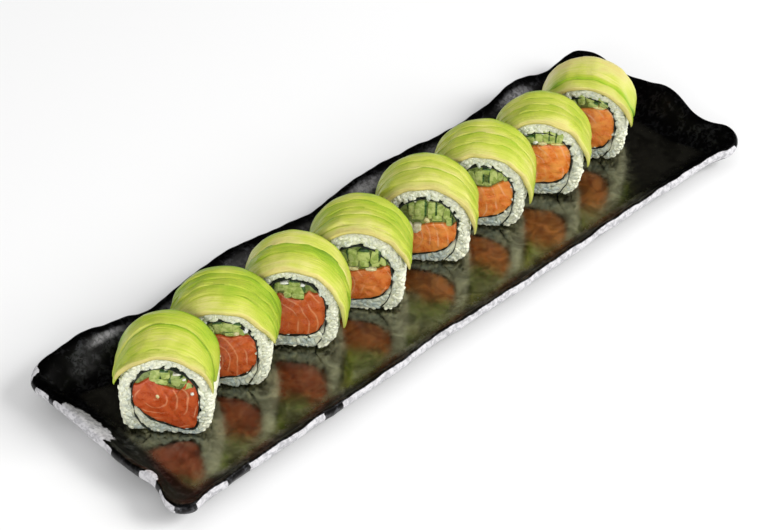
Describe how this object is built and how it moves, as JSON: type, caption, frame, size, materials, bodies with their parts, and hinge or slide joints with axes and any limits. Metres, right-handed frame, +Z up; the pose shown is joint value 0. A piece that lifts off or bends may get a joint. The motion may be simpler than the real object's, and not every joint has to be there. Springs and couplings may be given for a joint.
{
  "type": "uramaki roll platter",
  "caption": "Long shallow dish with a wavy hand-formed rim, holding a row of cut uramaki rolls: rice round nori, salmon and cucumber, under fanned avocado slices.",
  "frame": {"origin": "on the surface the dish stands on, under the middle of the dish's bounding box", "axes": "+X along the dish towards the end that the last roll leaves free, +Y from the near long rim to the far long rim, +Z up"},
  "size_m": [0.3398, 0.1034, 0.0545],
  "materials": {
    "glaze": "near-black glossy glaze with silvery grey mottling on the rim",
    "rice": "moist cooked rice, slightly glossy white grains",
    "nori": "near-black green moist seaweed sheet",
    "salmon": "moist orange salmon with pale fat lines",
    "cucumber": "moist green cucumber sticks with dark green skin",
    "avocado": "smooth moist yellow-green avocado slices"
  },
  "bodies": {
    "root": {"dish": "glaze", "rice_1": "rice", "rice_2": "rice", "rice_3": "rice", "rice_4": "rice", "rice_5": "rice", "rice_6": "rice", "rice_7": "rice", "rice_8": "rice", "nori_1": "nori", "nori_2": "nori", "nori_3": "nori", "nori_4": "nori", "nori_5": "nori", "nori_6": "nori", "nori_7": "nori", "nori_8": "nori", "salmon_1": "salmon", "salmon_2": "salmon", "salmon_3": "salmon", "salmon_4": "salmon", "salmon_5": "salmon", "salmon_6": "salmon", "salmon_7": "salmon", "salmon_8": "salmon", "cucumber_1": "cucumber", "cucumber_2": "cucumber", "cucumber_3": "cucumber", "cucumber_4": "cucumber", "cucumber_5": "cucumber", "cucumber_6": "cucumber", "cucumber_7": "cucumber", "cucumber_8": "cucumber", "avocado_1": "avocado", "avocado_2": "avocado", "avocado_3": "avocado", "avocado_4": "avocado", "avocado_5": "avocado", "avocado_6": "avocado", "avocado_7": "avocado", "avocado_8": "avocado"}
  },
  "joints": []
}
